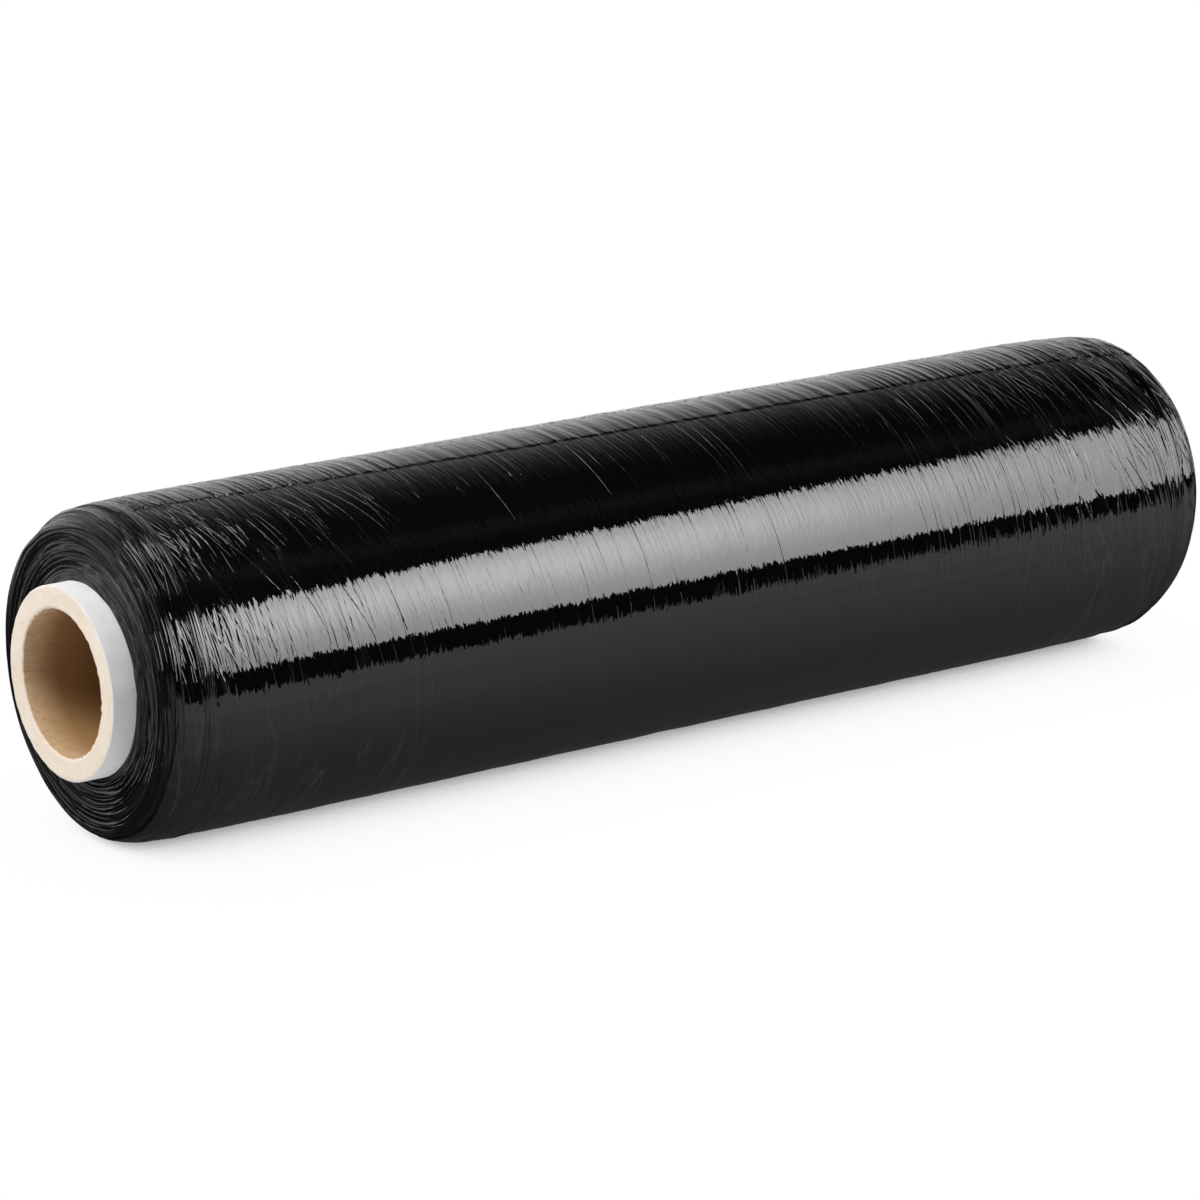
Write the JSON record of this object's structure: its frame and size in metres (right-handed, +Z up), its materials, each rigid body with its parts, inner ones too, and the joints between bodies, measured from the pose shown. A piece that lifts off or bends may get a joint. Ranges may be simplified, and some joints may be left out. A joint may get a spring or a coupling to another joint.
{
  "type": "stretch wrap roll",
  "caption": "Roll of black plastic stretch wrap wound on a paper core that stands out at both ends; it lies on its side on a narrow flat.",
  "frame": {"origin": "under the middle of the roll, on the surface that it rests on", "axes": "+X along the roll's axis towards the end that the picture shows further away, +Z up, -Y towards the front"},
  "size_m": [0.469, 0.116, 0.1156],
  "materials": {
    "core_paper": "matte wound paper with a white outer ply",
    "black_film": "glossy stretched polyethylene film"
  },
  "bodies": {
    "root": {"core_tube": "core_paper", "film_winding": "black_film"}
  },
  "joints": []
}
